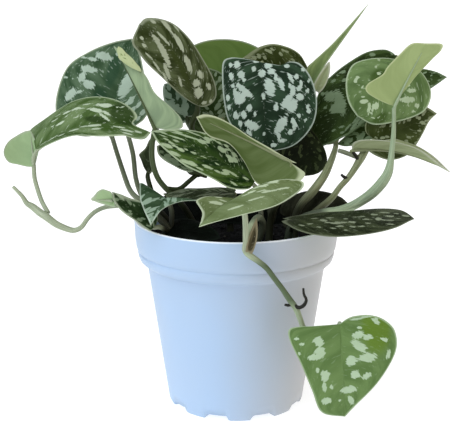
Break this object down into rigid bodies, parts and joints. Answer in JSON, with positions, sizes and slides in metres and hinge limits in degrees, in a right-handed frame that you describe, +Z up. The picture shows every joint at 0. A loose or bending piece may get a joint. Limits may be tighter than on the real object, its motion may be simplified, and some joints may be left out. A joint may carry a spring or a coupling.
{
  "type": "potted satin pothos",
  "caption": "Trailing house plant with silver-splashed heart-shaped leaves on arching stems, rooted in potting mix in a tapered nursery pot with a stepped collar and notched foot.",
  "frame": {"origin": "on the pot's axis, at the surface the pot stands on", "axes": "+Z up the pot's axis, -Y towards the front, where one stem hangs over the rim, +X to the right"},
  "size_m": [0.2275, 0.1511, 0.2065],
  "materials": {
    "pot_plastic": "smooth thin moulded plastic, faintly translucent",
    "potting_mix": "damp crumbly peat and bark",
    "foliage": "satin dark green with silver splashes, paler undersides and stems"
  },
  "bodies": {
    "root": {"pot": "pot_plastic", "soil": "potting_mix", "vine_left": "foliage", "stem_back_left": "foliage", "stem_mid_left": "foliage", "vine_front": "foliage", "stem_centre": "foliage", "stem_centre_back": "foliage", "stem_right_back": "foliage", "vine_right": "foliage"}
  },
  "joints": []
}
